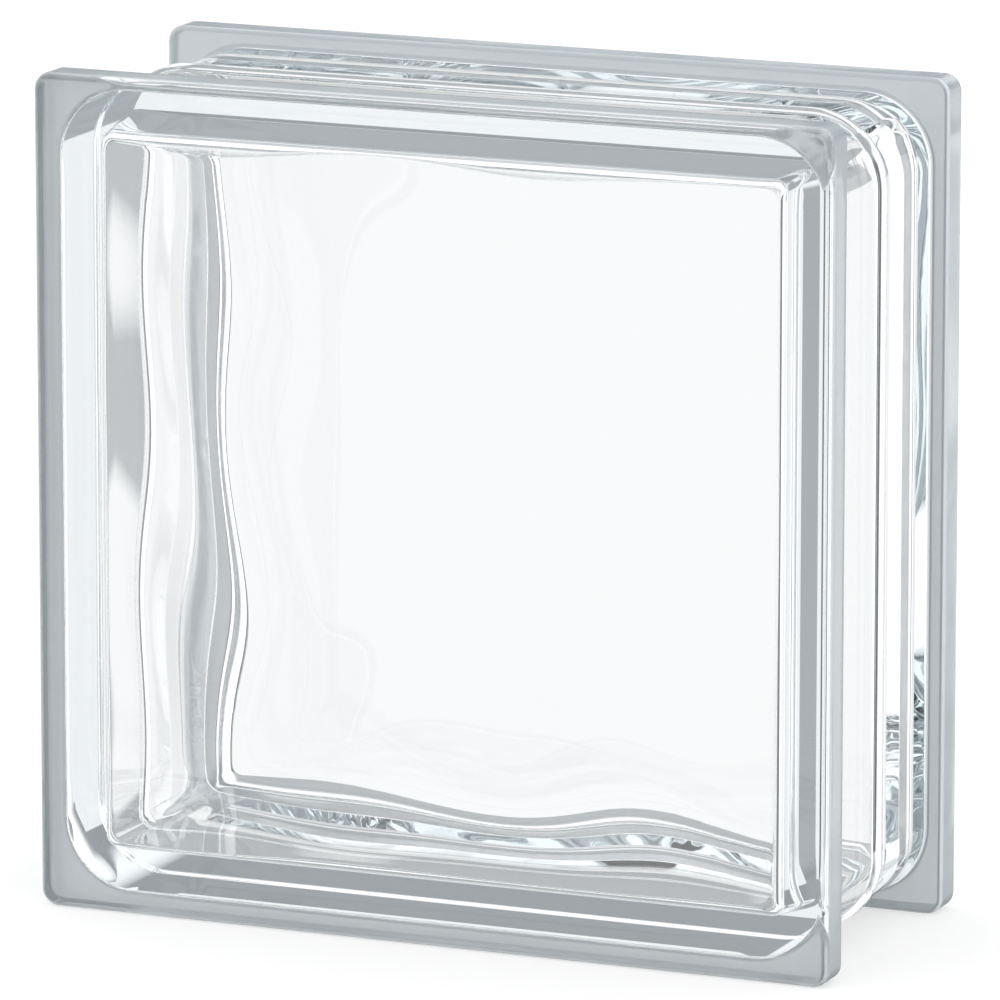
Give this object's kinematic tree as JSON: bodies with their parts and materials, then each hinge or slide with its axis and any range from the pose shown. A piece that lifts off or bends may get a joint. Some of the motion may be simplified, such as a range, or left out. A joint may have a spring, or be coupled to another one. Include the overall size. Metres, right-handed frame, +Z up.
{
  "type": "glass block",
  "caption": "Square hollow block of clear glass with wavy inner faces, a flange round each face and a mortar channel round its edges, for see-through walls.",
  "frame": {"origin": "middle of the underside, on the surface that the block stands on", "axes": "+X along the width, +Y through the depth from the front face to the back face, +Z up"},
  "size_m": [0.19, 0.08, 0.19],
  "materials": {
    "clear_glass": "polished"
  },
  "bodies": {
    "root": {"glass_block": "clear_glass"}
  },
  "joints": []
}
